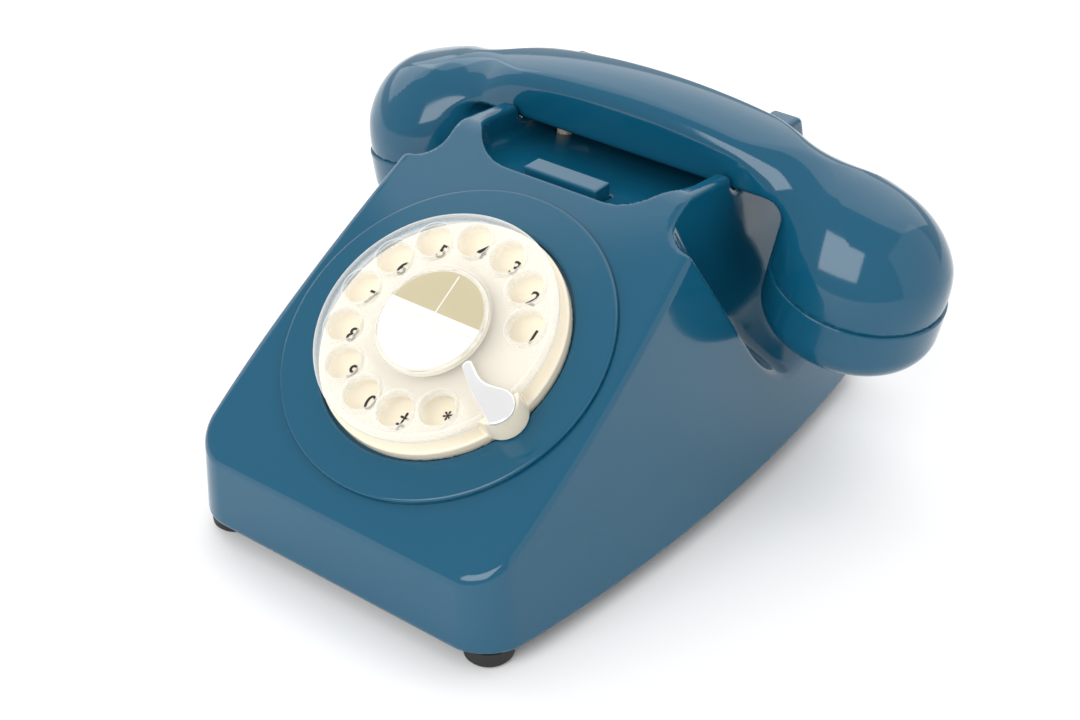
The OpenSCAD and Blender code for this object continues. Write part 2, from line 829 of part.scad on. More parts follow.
module cap(holes) {
    difference() {
        union() {
            rotate_extrude() polygon([
                [0, -cap_h + 1.2], [12, -cap_h], [cup_r - 8.5, -cap_h], [cup_r - 5.2, -cap_h + 0.7],
                [cup_r - 2.5, -cap_h + 2.5], [cup_r - 0.7, -cap_h + 5.2], [cup_r, -cap_h + 8.5],
                [cup_r, -CLEAR], [0, -CLEAR]
            ]);
            translate([0, 0, -1]) cylinder(r = cup_r - cup_wall - CLEAR, h = 3);
        }
        translate([0, 0, -cap_h + 3.2]) cylinder(r = cup_r - 2 * cup_wall - CLEAR, h = 30);
        for (k = [0 : holes - 1]) at_angle(9, k * 360 / holes)
            translate([0, 0, -20]) cylinder(r = 1.3, h = 20, $fn = 24);
        translate([0, 0, -20]) cylinder(r = 1.3, h = 20, $fn = 24);
    }
}

module earpiece_cap() {
    color(blue) at_cup(1) cap(6);
}

module mouthpiece_cap() {
    color(blue) at_cup(-1) cap(8);
}

module receiver_capsule() {
    color("darkgray") at_cup(1) translate([0, 0, -cap_h + 3.6]) {
        cylinder(r = 20, h = 8);
        cylinder(r = 14, h = 13);
    }
}

module transmitter_capsule() {
    color("gray") at_cup(-1) translate([0, 0, -cap_h + 3.6]) {
        cylinder(r = 21, h = 6);
        cylinder(r = 12, h = 10);
    }
}

module handset_weight() {
    color("slategray") placed() translate([-30, handset_y - 8, grip_z + cup_wall + 0.2]) cube([60, 16, 6]);
}

module cord_socket() {
    color("ivory") at_cup(-1) translate([-cup_r + 0.8, -4.5, 2.6]) difference() {
        cube([8.5, 9, 9.4]);
        translate([-1, 1.2, 1.4]) cube([7.5, 6.6, 6.6]);
    }
}

case_shell();
base_plate();
rubber_feet();
case_screws();
base_weight();
dial_surround();
number_plate();
dial_digits();
finger_stop();
stop_screw();
dial_plate();
dial_pillars();
dial_back_plate();
dial_screws();
governor_cup();
pulse_contacts();
return_spring();
finger_wheel();
wheel_hub();
label_card();
label_cover();
main_shaft();
main_gear();
pulse_spindle();
pulse_gear();
pulse_cam();
governor_shaft();
governor_weights();
recall_bar();
recall_spring();
recall_switch();
plunger_left();
plunger_right();
hook_lever();
hook_pin();
hook_bracket();
hook_switch();
ringer_frame();
ringer_coils();
ringer_magnet();
gong_left();
gong_right();
gong_screws();
clapper();
clapper_pin();
circuit_board();
board_posts();
bell_capacitor();
line_transformer();
line_jack();
handset_jack();
volume_switch();
volume_slider();
handset_shell();
earpiece_cap();
mouthpiece_cap();
receiver_capsule();
transmitter_capsule();
handset_weight();
cord_socket();
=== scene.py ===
import json
import math

import bpy
import numpy as np
import openvdb
from mathutils import Matrix, Vector


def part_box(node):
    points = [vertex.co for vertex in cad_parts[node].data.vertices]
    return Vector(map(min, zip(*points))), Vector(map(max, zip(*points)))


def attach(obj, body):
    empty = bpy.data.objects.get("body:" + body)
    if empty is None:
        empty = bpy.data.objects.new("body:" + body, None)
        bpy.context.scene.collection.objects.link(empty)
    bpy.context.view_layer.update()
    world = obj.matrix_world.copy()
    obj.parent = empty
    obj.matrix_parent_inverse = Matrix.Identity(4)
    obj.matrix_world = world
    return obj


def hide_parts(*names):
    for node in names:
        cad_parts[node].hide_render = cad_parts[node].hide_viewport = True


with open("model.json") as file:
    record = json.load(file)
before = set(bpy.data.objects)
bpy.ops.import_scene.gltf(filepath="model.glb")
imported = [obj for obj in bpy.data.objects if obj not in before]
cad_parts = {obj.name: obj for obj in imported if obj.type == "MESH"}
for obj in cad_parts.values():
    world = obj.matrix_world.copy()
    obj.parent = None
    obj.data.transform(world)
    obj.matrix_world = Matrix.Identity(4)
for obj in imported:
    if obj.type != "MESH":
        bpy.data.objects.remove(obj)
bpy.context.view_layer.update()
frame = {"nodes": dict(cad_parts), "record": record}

MM = 0.001
WALL = 2.4

# ---------------------------------------------------------------- places taken from the frame

# The case's lower edge is FOOT_Z above the case datum, and starts FOOT_OUT before the lip
case_low, case_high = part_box("case_shell")
FOOT_Z = 4.0
FOOT_OUT = 1
FRONT_Y = case_low.y / MM + FOOT_OUT
LIFT = case_low.z / MM - FOOT_Z
CASE_BACK = (case_high.y - case_low.y) / MM - FOOT_OUT
CASE_HALF = case_high.x / MM

# The front face slopes up from the lip, and the dial's centre is DIAL_UP along it
FACE_ANGLE = math.radians(31.2)
LIP_Z = 28.7
DIAL_UP = 62.0

# Body frame: millimetres, measured back from the front lip and up from the case datum
BODY = Matrix.Translation(Vector((0, FRONT_Y, LIFT)) * MM) @ Matrix.Scale(MM, 4)
# Dial frame: millimetres, u across, v up the face, h out of the face, from the dial's centre
DIAL = (
    BODY
    @ Matrix.Translation((0, 0, LIP_Z))
    @ Matrix.Rotation(FACE_ANGLE, 4, "X")
    @ Matrix.Translation((0, DIAL_UP, 0))
)

# ---------------------------------------------------------------- distance fields

# How often a mesh's points are moved towards the surface, and the step that finds its slope
PASSES = 3
NUDGE = 0.02
LEAST_SLOPE_SQUARED = 0.2
TINY = 1e-9


def round_max(a, b, r):
    """Intersection of two solids with a rounded edge of radius r."""
    outside = np.hypot(np.maximum(a + r, 0), np.maximum(b + r, 0))
    return np.minimum(np.maximum(a, b), -r) + outside


def round_min(a, b, r):
    """Union of two solids with a fillet of radius r."""
    return -round_max(-a, -b, r)


def slab(v, low, high):
    """Distance from the layer between low and high."""
    return np.maximum(low - v, v - high)


def box_field(x, y, z, low, high, r):
    """Box between two corners, with edges rounded to radius r."""
    d = round_max(slab(x, low[0], high[0]), slab(y, low[1], high[1]), r)
    return round_max(d, slab(z, low[2], high[2]), r)


def slope(a, b, point, normal):
    """Distance, along that normal, from the sloping plane through that point."""
    length = math.hypot(*normal)
    return (normal[0] * (a - point[0]) + normal[1] * (b - point[1])) / length


def shell_of(field, thickness):
    """The skin of that thickness inside a solid's surface."""
    return np.maximum(field, -(field + thickness))


def sdf_mesh(name, field, low, high, step, place):
    """A mesh of the surface where field is 0, with its points moved onto that surface."""
    band = 3 * step
    low, high = np.array(low, float), np.array(high, float)
    axes = [np.arange(a, b + step, step, dtype=np.float32) for a, b in zip(low, high)]
    x, y, z = np.meshgrid(*axes, indexing="ij", sparse=True)
    values = np.asarray(field(x, y, z), np.float32)
    values = np.broadcast_to(values, [len(a) for a in axes])
    grid = openvdb.FloatGrid(band)
    grid.copyFromArray(np.ascontiguousarray(np.clip(values, -band, band)))
    points, quads = grid.convertToQuads(0.0)
    points = low + points.astype(float) * step

    def value(p):
        return np.asarray(field(p[:, 0], p[:, 1], p[:, 2]), float)

    def gradient(p):
        rows = []
        for axis in range(3):
            d = np.zeros(3)
            d[axis] = NUDGE
            rows.append((value(p + d) - value(p - d)) / (2 * NUDGE))
        return np.stack(rows, 1)

    for _ in range(PASSES):
        g = gradient(points)
        slope_squared = np.maximum((g**2).sum(1), LEAST_SLOPE_SQUARED)
        move = -(value(points) / slope_squared)[:, None] * g
        size = np.linalg.norm(move, axis=1)[:, None]
        points = points + move * np.minimum(1, 0.5 * step / np.maximum(size, TINY))
    normals = gradient(points)
    normals /= np.maximum(np.linalg.norm(normals, axis=1), TINY)[:, None]
    corners = points[quads]
    across = np.cross(corners[:, 2] - corners[:, 0], corners[:, 3] - corners[:, 1])
    inward = (across * normals[quads[:, 0]]).sum(1).sum() < 0
    if inward:
        quads = quads[:, ::-1]
    mesh = bpy.data.meshes.new(name)
    mesh.from_pydata(points.tolist(), [], quads.tolist())
    mesh.polygons.foreach_set("use_smooth", [True] * len(mesh.polygons))
    mesh.normals_split_custom_set_from_vertices(normals.tolist())
    mesh.transform(place)
    obj = bpy.data.objects.new(name, mesh)
    bpy.context.scene.collection.objects.link(obj)
    return obj


# ---------------------------------------------------------------- case

# Plan of the wedge at the foot and at the top, y measured back from the front lip;
# SIDE_BOW is twice the radius of the sides' curve
TOP_Z = 105.0
TOP_HALF = 51.5
TOP_FRONT = 3.1
TOP_BACK = 176.3
FOOT_FRONT = -FOOT_OUT
WIDEST_Y = 110
SIDE_BOW = 1080
FOOT_CORNER = 13
TOP_CORNER = 5
LIP_ROUND = 2.4
BOTTOM_ROUND = 1.1

# Hollows in the sides: each slope is a point that it goes through and a normal
WEB_HALF = 43.5
WEB_TOP_Z = 100
WEB_LEAN = 51
SCOOP_BED = ((44.5, 49), (-18, -16.5))
SCOOP_FRONT = ((92, 100), (-51, -30))
SCOOP_BACK = ((216, 100), (51, -30))
SCOOP_ROUND = 14
SCOOP_END_ROUND = 10

# Trough between the horns, and the seat that the handset lies over
TROUGH_HALF = 38.0
TROUGH_FRONT = 105.3
TROUGH_BACK = 171.5
TROUGH_CORNER = 20.0
TROUGH_FLOOR = 80.0
TROUGH_LIP_Y = 106.5
TROUGH_LIP_Z = 88.2
TROUGH_FALL = 3.7 / 23.5
SEAT_FRONT = ((136.4, 96), (-8, -2.2))
SEAT_BACK = 169.5
SEAT_Z = 88.1
BED_ROUND = 3
HANDSET_Y = 152.5

# Tops of the horns, the low middle of the rear wall and the finger recess in the back;
# BEHIND is a y past the back of the case
FRONT_HORN_Y = 111
FRONT_HORN_Z = 97.2
FRONT_HORN_SLOPE = math.tan(math.radians(6))
FRONT_TOP_Z = 97.4
BACK_TOP_Z = 98.2
BACK_TOP_Y = 150
HORN_ROUND = 2
REAR_LIP_HALF = 33
REAR_LIP_Y = 158
REAR_LIP_Z = 94
REAR_LIP_ROUND = 4
BEHIND = 230
GRIP_RECESS = ((-38, 168, 50), (38, BEHIND, 72))
RECESS_ROUND = 4

# Openings through the walls
DIAL_OPENING_R = 37.6
DIAL_OPENING_DEPTH = 8
PLUNGER_X = 31
PLUNGER_HOLE_R = 3.1
PLUNGER_HOLE_DEPTH = 6
RECALL_SLOT = ((-14.3, 107.3, 80), (14.3, 116.1, 99))
BACK_WINDOWS = (
    ((18, CASE_BACK - 12, 11), (34, BEHIND, 25)),
    ((-33, CASE_BACK - 12, 11), (-19, BEHIND, 23)),
    ((-8.5, CASE_BACK - 8, 14), (8.5, BEHIND, 18)),
)


def above_face(y, z):
    """Height out of the sloping front face."""
    return (z - LIP_Z) * math.cos(FACE_ANGLE) - y * math.sin(FACE_ANGLE)


def up_face(y, z):
    """Distance up the sloping front face from the dial's centre."""
    return y * math.cos(FACE_ANGLE) + (z - LIP_Z) * math.sin(FACE_ANGLE) - DIAL_UP


def outer_body(x, y, z):
    """The wedge before it is hollowed; t is 0 at the foot and 1 at the top."""
    t = (z - FOOT_Z) / (TOP_Z - FOOT_Z)
    bow = CASE_HALF - (y - WIDEST_Y) ** 2 / SIDE_BOW
    half = (1 - t) * bow + t * TOP_HALF
    front = (1 - t) * FOOT_FRONT + t * TOP_FRONT - y
    back = y - (1 - t) * CASE_BACK - t * TOP_BACK
    corner = FOOT_CORNER + (TOP_CORNER - FOOT_CORNER) * t
    plan = round_max(np.abs(x) - half, np.maximum(front, back), corner)
    return round_max(plan, above_face(y, z), LIP_ROUND)


def scoop_field(x, y, z):
    """The hollow at each side that gives the ear and mouth cups room."""
    web = WEB_HALF + (WEB_TOP_Z - z) / WEB_LEAN - np.abs(x)
    d = round_max(web, slope(np.abs(x), z, *SCOOP_BED), SCOOP_ROUND)
    d = round_max(d, slope(y, z, *SCOOP_FRONT), SCOOP_END_ROUND)
    return round_max(d, slope(y, z, *SCOOP_BACK), SCOOP_END_ROUND)


def trough_field(x, y, z):
    """The cradle's hollow, whose floor falls from the front lip to the level part."""
    ramp = TROUGH_LIP_Z - (y - TROUGH_LIP_Y) * TROUGH_FALL
    floor = np.maximum(ramp, TROUGH_FLOOR) - z
    ends = np.maximum(TROUGH_FRONT - y, y - TROUGH_BACK)
    walls = round_max(np.abs(x) - TROUGH_HALF, ends, TROUGH_CORNER)
    return round_max(walls, floor, BED_ROUND)


def seat_field(x, y, z):
    """The saddle across the case that leaves the horns in front of and behind the handset."""
    ends = np.maximum(slope(y, z, *SEAT_FRONT), y - SEAT_BACK)
    return round_max(ends, SEAT_Z - z, BED_ROUND)


def rear_lip_field(x, y, z):
    """The low stretch of the rear wall between the back horns."""
    d = round_max(np.abs(x) - REAR_LIP_HALF, REAR_LIP_Z - z, REAR_LIP_ROUND)
    return round_max(d, REAR_LIP_Y - y, REAR_LIP_ROUND)


def case_field(x, y, z):
    d = outer_body(x, y, z)
    front_top = (z - FRONT_HORN_Z) + (y - FRONT_HORN_Y) * FRONT_HORN_SLOPE
    front_top = np.maximum(front_top, z - FRONT_TOP_Z)
    d = round_max(d, np.where(y < BACK_TOP_Y, front_top, z - BACK_TOP_Z), HORN_ROUND)
    for hollow, edge in (
        (scoop_field(x, y, z), 1.6),
        (trough_field(x, y, z), 2.2),
        (seat_field(x, y, z), 1.8),
        (rear_lip_field(x, y, z), 1.4),
        (box_field(x, y, z, *GRIP_RECESS, RECESS_ROUND), 1.6),
    ):
        d = round_max(d, -hollow, edge)
    return d


def case_shell_field(x, y, z):
    d = shell_of(case_field(x, y, z), WALL)
    d = round_max(d, FOOT_Z - z, BOTTOM_ROUND)
    from_dial = np.hypot(x, up_face(y, z)) - DIAL_OPENING_R
    opening = np.maximum(from_dial, np.abs(above_face(y, z)) - DIAL_OPENING_DEPTH)
    from_plunger = np.hypot(np.abs(x) - PLUNGER_X, y - HANDSET_Y) - PLUNGER_HOLE_R
    pins = np.maximum(from_plunger, np.abs(z - TROUGH_FLOOR) - PLUNGER_HOLE_DEPTH)
    windows = [box_field(x, y, z, *window, 0.6) for window in BACK_WINDOWS]
    for hollow in (opening, box_field(x, y, z, *RECALL_SLOT, 0.8), pins, *windows):
        d = round_max(d, -hollow, 0.5)
    return d


# ---------------------------------------------------------------- handset

# Cups: tilted cylinders, each measured from the seam between the handset and its cap
SEAM_Z = 64.0
CUP_X = 81.5
CUP_R = 28.0
CUP_TILT = math.radians(11)
CAP_H = 20.0
CAP_ROUND = 10
CAP_WALL = 4.6
CAP_ROOF = 3
SOUND_RING = 9
SOUND_HOLE_R = 1.3
SEAM_ROUND = 0.4

# Handle: an arc seen from the front, crowned across, with rounder edges over the cups;
# CROWN is twice the radius of the curve across it
GRIP_Z = 88.5
HANDLE_TOP = 108.5
HANDLE_HALF = 14.0
ARC_R = 270.0
CROWN = 90
HANDLE_EDGE = 4.5
CUP_EDGE = 21
EDGE_START = 40
EDGE_LENGTH = 34
JOIN_FILLET = 7
GRIP_FILLET = 5
LOWER_EDGE = 2.5
HANDSET_WALL = 2.3

# The handset's rim runs down inside the cap's edge
TUCK = 0.35
TUCK_TOP = 1.2
RIM_DROP = 0.8

CORD_SOCKET_HALF = 4.7
CORD_SOCKET_UP = (2.4, 12.2)
CORD_SOCKET_X = CUP_X + 10

RECALL_BAR = ((-13.8, 107.8, 83), (13.8, 115.6, 91.7))
RECALL_FLANGE = ((-15.4, 107.8, 82.2), (15.4, 115.6, 83.7))


def cup_frame(x, y, z):
    """Distance from the nearer cup's axis, and height above its seam."""
    dx, dz = np.abs(x) - CUP_X, z - SEAM_Z
    across = dx * math.cos(CUP_TILT) - dz * math.sin(CUP_TILT)
    up = dx * math.sin(CUP_TILT) + dz * math.cos(CUP_TILT)
    return np.hypot(across, y - HANDSET_Y), up


def handset_solid(x, y, z):
    side = y - HANDSET_Y
    crown = np.hypot(x, z - HANDLE_TOP + ARC_R) - ARC_R + side**2 / CROWN
    radial, up = cup_frame(x, y, z)
    strip = np.maximum(np.abs(side) - HANDLE_HALF, np.abs(x) - CUP_X)
    plan = round_min(strip, radial - CUP_R, JOIN_FILLET)
    spread = np.clip((np.abs(x) - EDGE_START) / EDGE_LENGTH, 0, 1)
    edge = HANDLE_EDGE + (CUP_EDGE - HANDLE_EDGE) * spread**2 * (3 - 2 * spread)
    upper = round_max(plan, crown, edge)
    below = round_min(GRIP_Z - z, radial - CUP_R, GRIP_FILLET)
    return np.maximum(round_max(upper, below, LOWER_EDGE), -CAP_H - up)


def handset_shell_field(x, y, z):
    up = cup_frame(x, y, z)[1]
    tuck = TUCK * np.clip(TUCK_TOP - up, 0, 1) ** 2
    d = shell_of(handset_solid(x, y, z) + tuck, HANDSET_WALL)
    d = np.maximum(d, -RIM_DROP - up)
    across = slab(y - HANDSET_Y, -CORD_SOCKET_HALF, CORD_SOCKET_HALF)
    socket = np.maximum(across, slab(up, *CORD_SOCKET_UP))
    socket = np.maximum(socket, x + CORD_SOCKET_X)
    return np.maximum(d, -socket)


def cap_field(holes):
    """Lathe-turned cap with a ring of sound holes; w is the height above the seam."""

    def field(u, v, w):
        r = np.hypot(u, v)
        d = round_max(r - CUP_R, -CAP_H - w, CAP_ROUND)
        d = round_max(d, w, SEAM_ROUND)
        d = np.maximum(d, -np.maximum(r - CUP_R + CAP_WALL, -CAP_H + CAP_ROOF - w))
        for k in range(holes):
            a = 2 * math.pi * k / holes
            near = np.hypot(u - SOUND_RING * math.cos(a), v - SOUND_RING * math.sin(a))
            d = round_max(d, SOUND_HOLE_R - near, 0.4)
        return round_max(d, SOUND_HOLE_R - r, 0.4)

    return field


def recall_field(x, y, z):
    bar = box_field(x, y, z, *RECALL_BAR, 0.7)
    return round_min(bar, box_field(x, y, z, *RECALL_FLANGE, 0.3), 0.2)


case = sdf_mesh("case_moulding", case_shell_field, (-72, -4, 2), (72, 208, 101), 1.0, BODY)
handset = sdf_mesh(
    "handset_moulding", handset_shell_field, (-118, 122, 56), (118, 183, 111), 1.0, BODY
)
recall = sdf_mesh("recall_bar_moulding", recall_field, (-17, 106, 81), (17, 118, 93), 0.5, BODY)
caps = []
for side, name, holes in ((1, "earpiece_moulding", 6), (-1, "mouthpiece_moulding", 8)):
    place = (
        BODY
        @ Matrix.Translation((side * CUP_X, HANDSET_Y, SEAM_Z))
        @ Matrix.Rotation(side * CUP_TILT, 4, "Y")
    )
    caps.append(sdf_mesh(name, cap_field(holes), (-30, -30, -22), (30, 30, 1), 0.6, place))

# ---------------------------------------------------------------- dial

# Rings and plates, from the face outwards
SEATED = 0.05
SURROUND_R = 52.9
SURROUND_BORE = 40.1
SURROUND_TOP = 1.75
PLATE_R = 39.2
PLATE_TOP = 4.1
PLATE_RIM = 2.2
PLATE_UNDER = 2.4
PLATE_BORE = 6
WHEEL_R = 38.0
WHEEL_DISC = (8.7, 10.3)
WHEEL_RIM = (8.0, 10.8)
WHEEL_RIM_WIDTH = 1.8
COLLAR = (8.0, 11.2)
COLLAR_WIDTH = 1.0
HUB_BORE = 5.05
COVER_R = 18.6
COVER = (11, 13.9)
COVER_SEAT_R = 17.7
CARD_POCKET_R = 16.6
CARD_POCKET = (12.3, 13.1)

# Finger holes: angles in degrees from u, anticlockwise
HOLES = 12
HOLE_RING = 29.0
HOLE_R = 5.5
FIRST_HOLE = 19.7
HOLE_STEP = 26.15

# The plate's tab and the finger stop that is screwed to it
STOP_ANGLE = math.radians(-24)
TAB_RING = 36.2
TAB_R = 7.2
TAB = (1.85, 12.3)
WHEEL_GAP = 0.6
BLADE = (20.2, 39)
BLADE_HALF = 1.7
BLADE_OFFSET = 2.2
BLADE_LEAN = 2.4
LEAN_FROM = 34
LEAN_LENGTH = 13
STOP_PAD = (39.2, 0.1)
STOP_PAD_R = 4.4
STOP_FLAT = (33, -3.9)
STOP_FLAT_SLOPE = 0.115
STOP = (12.35, 13.65)


def hole_angles():
    return [math.radians(FIRST_HOLE + HOLE_STEP * k) for k in range(HOLES)]


def surround_field(u, v, h):
    r = np.hypot(u, v)
    d = round_max(slab(r, SURROUND_BORE, SURROUND_R), h - SURROUND_TOP, 0.9)
    return round_max(d, SEATED - h, 0.2)


def plate_field(u, v, h):
    r = np.hypot(u, v)
    d = round_max(r - PLATE_R, h - PLATE_TOP, 0.7)
    d = np.maximum(d, SEATED - h)
    tab_u, tab_v = TAB_RING * math.cos(STOP_ANGLE), TAB_RING * math.sin(STOP_ANGLE)
    tab = round_max(np.hypot(u - tab_u, v - tab_v) - TAB_R, slab(h, *TAB), 0.8)
    tab = np.maximum(tab, -np.maximum(r - WHEEL_R - WHEEL_GAP, PLATE_TOP - h))
    d = round_min(d, tab, 0.8)
    d = np.maximum(d, -np.maximum(r - PLATE_R + PLATE_RIM, h - PLATE_UNDER))
    return np.maximum(d, PLATE_BORE - r)


def wheel_field(u, v, h):
    r = np.hypot(u, v)
    disc = round_max(r - WHEEL_R, slab(h, *WHEEL_DISC), 0.6)
    rim = round_max(slab(r, WHEEL_R - WHEEL_RIM_WIDTH, WHEEL_R), slab(h, *WHEEL_RIM), 0.7)
    d = round_min(disc, rim, 0.6)
    near = [
        np.hypot(u - HOLE_RING * math.cos(a), v - HOLE_RING * math.sin(a)) for a in hole_angles()
    ]
    for distance in near:
        collar = round_max(distance - HOLE_R - COLLAR_WIDTH, slab(h, *COLLAR), 0.5)
        d = round_min(d, collar, 0.6)
    for distance in near:
        d = round_max(d, HOLE_R - distance, 0.4)
    return round_max(d, HUB_BORE - r, 0.3)


def cover_field(u, v, h):
    r = np.hypot(u, v)
    d = round_max(r - COVER_R, slab(h, *COVER), 0.9)
    d = np.maximum(d, -np.maximum(r - CARD_POCKET_R, slab(h, *CARD_POCKET)))
    return np.maximum(d, -np.maximum(r - COVER_SEAT_R, h - CARD_POCKET[0]))


def stop_field(u, v, h):
    """Leaning blade with a round pad, cut flat on its lower side."""
    c, s = math.cos(STOP_ANGLE), math.sin(STOP_ANGLE)
    along, across = u * c + v * s, -u * s + v * c
    lean = across + BLADE_OFFSET - BLADE_LEAN * np.clip((LEAN_FROM - along) / LEAN_LENGTH, 0, 1)
    blade = round_max(slab(along, *BLADE), slab(lean, -BLADE_HALF, BLADE_HALF), 1.5)
    pad = np.hypot(along - STOP_PAD[0], across - STOP_PAD[1]) - STOP_PAD_R
    d = round_min(blade, pad, 9)
    d = np.maximum(d, STOP_FLAT[1] - STOP_FLAT_SLOPE * (along - STOP_FLAT[0]) - across)
    return round_max(d, slab(h, *STOP), 0.55)


def dial_piece(name, field, reach, low, high, step):
    return sdf_mesh(name, field, (-reach, -reach, low), (reach, reach, high), step, DIAL)


surround = dial_piece("surround_moulding", surround_field, 54, -0.6, 2.6, 0.5)
plate = dial_piece("number_plate_moulding", plate_field, 45, -0.6, 13, 0.6)
wheel = dial_piece("clear_finger_wheel", wheel_field, 39, 7.4, 11.8, 0.4)
cover = dial_piece("clear_label_cover", cover_field, 19.4, 10.4, 14.5, 0.4)
stop = dial_piece("finger_stop_blade", stop_field, 45, 11.8, 14.2, 0.35)


def flat_piece(name, outline, low, high):
    """A thin plate with that outline, in the dial's frame."""
    n = len(outline)
    points = [(u, v, low) for u, v in outline] + [(u, v, high) for u, v in outline]
    faces = [list(range(n))[::-1], list(range(n, 2 * n))]
    faces += [[i, (i + 1) % n, n + (i + 1) % n, n + i] for i in range(n)]
    mesh = bpy.data.meshes.new(name)
    mesh.from_pydata(points, [], faces)
    mesh.transform(DIAL)
    obj = bpy.data.objects.new(name, mesh)
    bpy.context.scene.collection.objects.link(obj)
    return obj


def arc(r, start, end, count):
    """Points along an arc about the dial's centre, angles in degrees."""
    angles = [math.radians(start + (end - start) * k / (count - 1)) for k in range(count)]
    return [(r * math.cos(a), r * math.sin(a)) for a in angles]


# Label: gold above the chord, divided in two, and a thin line across below it
CARD_R = 16.4
CARD = (12.32, 12.66)
PANEL = (12.66, 12.7)
CHORD_V = 2.6
DIVIDER = (12.7, 12.72)
DIVIDER_HALF = 0.2
DIVIDER_TOP = 15.6
LINE_V = -0.6
LINE_WIDTH = 0.13
LINE = (12.66, 12.69)
chord_angle = math.degrees(math.asin(CHORD_V / CARD_R))
line_half = math.sqrt(CARD_R**2 - LINE_V**2) - 0.2
card = flat_piece("label_disc", arc(CARD_R, 0, 357, 120), *CARD)
panel = flat_piece(
    "label_gold_panel",
    arc(CARD_R - 0.05, chord_angle, 180 - chord_angle, 80),
    *PANEL,
)
divider = flat_piece(
    "label_divider",
    [
        (-DIVIDER_HALF, CHORD_V),
        (DIVIDER_HALF, CHORD_V),
        (DIVIDER_HALF, DIVIDER_TOP),
        (-DIVIDER_HALF, DIVIDER_TOP),
    ],
    *DIVIDER,
)
thin_line = flat_piece(
    "label_thin_line",
    [
        (-line_half, LINE_V),
        (line_half, LINE_V),
        (line_half, LINE_V + LINE_WIDTH),
        (-line_half, LINE_V + LINE_WIDTH),
    ],
    *LINE,
)

CHARACTER_SIZE = 6.6
CHARACTER_RAISE = 0.05
CHARACTER_BOLD = 0.09
CHARACTER_H = PLATE_TOP + 0.07


def character(text, u, v):
    """A raised character on the number plate, upright on the face."""
    curve = bpy.data.curves.new("character", "FONT")
    curve.body = text
    curve.align_x = "CENTER"
    curve.align_y = "CENTER"
    curve.size = CHARACTER_SIZE
    curve.extrude = CHARACTER_RAISE
    curve.offset = CHARACTER_BOLD
    temporary = bpy.data.objects.new("character", curve)
    bpy.context.scene.collection.objects.link(temporary)
    graph = bpy.context.evaluated_depsgraph_get()
    mesh = bpy.data.meshes.new_from_object(temporary.evaluated_get(graph))
    bpy.data.objects.remove(temporary)
    mesh.transform(DIAL @ Matrix.Translation((u, v, CHARACTER_H)))
    return mesh


def joined(name, meshes):
    """One object that holds the points and faces of all those meshes."""
    points, faces = [], []
    for mesh in meshes:
        start = len(points)
        points += [tuple(p.co) for p in mesh.vertices]
        faces += [[start + i for i in f.vertices] for f in mesh.polygons]
    mesh = bpy.data.meshes.new(name)
    mesh.from_pydata(points, [], faces)
    obj = bpy.data.objects.new(name, mesh)
    bpy.context.scene.collection.objects.link(obj)
    return obj


digits = joined(
    "printed_characters",
    [
        character(text, HOLE_RING * math.cos(a), HOLE_RING * math.sin(a))
        for text, a in zip("1234567890\u2021*", hole_angles())
    ],
)

# ---------------------------------------------------------------- materials


def material(name, color, rough, vary=0.04, scale=40, grain=900, bump=0.02, **fixed):
    """Moulded or metal surface: mottled colour, uneven gloss and a fine surface grain."""
    mat = bpy.data.materials.new(name)
    mat.use_nodes = True
    nodes, links = mat.node_tree.nodes, mat.node_tree.links
    shader = nodes["Principled BSDF"]
    place = nodes.new("ShaderNodeTexCoord")
    mottle = nodes.new("ShaderNodeTexNoise")
    mottle.inputs["Scale"].default_value = scale
    mottle.inputs["Detail"].default_value = 3
    links.new(place.outputs["Object"], mottle.inputs["Vector"])
    mix = nodes.new("ShaderNodeMix")
    mix.data_type = "RGBA"
    mix.inputs["A"].default_value = [c * (1 - vary) for c in color] + [1]
    mix.inputs["B"].default_value = [min(1, c * (1 + vary)) for c in color] + [1]
    links.new(mottle.outputs["Fac"], mix.inputs["Factor"])
    links.new(mix.outputs["Result"], shader.inputs["Base Color"])
    gloss = nodes.new("ShaderNodeMapRange")
    gloss.inputs["To Min"].default_value = rough[0]
    gloss.inputs["To Max"].default_value = rough[1]
    links.new(mottle.outputs["Fac"], gloss.inputs["Value"])
    links.new(gloss.outputs["Result"], shader.inputs["Roughness"])
    fine = nodes.new("ShaderNodeTexNoise")
    fine.inputs["Scale"].default_value = grain
    links.new(place.outputs["Object"], fine.inputs["Vector"])
    relief = nodes.new("ShaderNodeBump")
    relief.inputs["Strength"].default_value = bump
    relief.inputs["Distance"].default_value = 0.0002
    links.new(fine.outputs["Fac"], relief.inputs["Height"])
    links.new(relief.outputs["Normal"], shader.inputs["Normal"])
    for key, value in fixed.items():
        shader.inputs[key.replace("_", " ").title().replace("Ior", "IOR")].default_value = value
    return mat


def clear_plastic(name, face_alpha, painted_edge_alpha):
    """Water-clear acrylic: see-through face on, and a whitish colour that grows opaque towards the
    edges, a painted reflection standing in for the light that real clear edges bend and reflect.
    """
    mat = material(name, (0.93, 0.92, 0.88), (0.02, 0.06), ior=1.49)
    nodes, links = mat.node_tree.nodes, mat.node_tree.links
    # Painted reflection: the whitish colour's opacity rises at grazing angles to paint bright edges
    edge = nodes.new("ShaderNodeLayerWeight")
    edge.inputs["Blend"].default_value = 0.35
    alpha = nodes.new("ShaderNodeMapRange")
    alpha.inputs["To Min"].default_value = face_alpha
    alpha.inputs["To Max"].default_value = painted_edge_alpha
    links.new(edge.outputs["Facing"], alpha.inputs["Value"])
    links.new(alpha.outputs["Result"], nodes["Principled BSDF"].inputs["Alpha"])
    return mat


